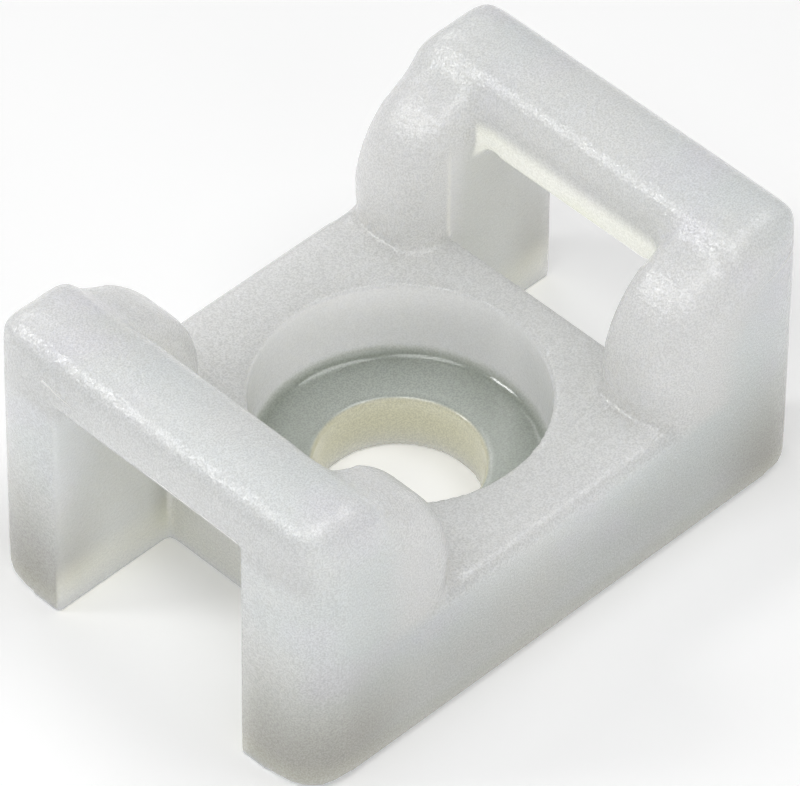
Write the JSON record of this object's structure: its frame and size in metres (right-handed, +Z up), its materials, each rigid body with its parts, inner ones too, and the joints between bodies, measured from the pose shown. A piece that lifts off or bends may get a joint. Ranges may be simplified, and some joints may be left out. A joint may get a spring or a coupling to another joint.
{
  "type": "cable tie mount",
  "caption": "Screw-down saddle mount for a cable tie, with a bridged tie slot at each end, rounded ears that cradle the cable, and a counterbored screw hole.",
  "frame": {"origin": "centre of the screw hole, on the plane of the base", "axes": "+X along the tie, +Y along the cable, +Z up out of the screw hole"},
  "size_m": [0.015, 0.01, 0.0075],
  "materials": {
    "nylon": "natural milky nylon with a fine spark-eroded grain"
  },
  "bodies": {
    "root": {"tie_mount": "nylon"}
  },
  "joints": []
}
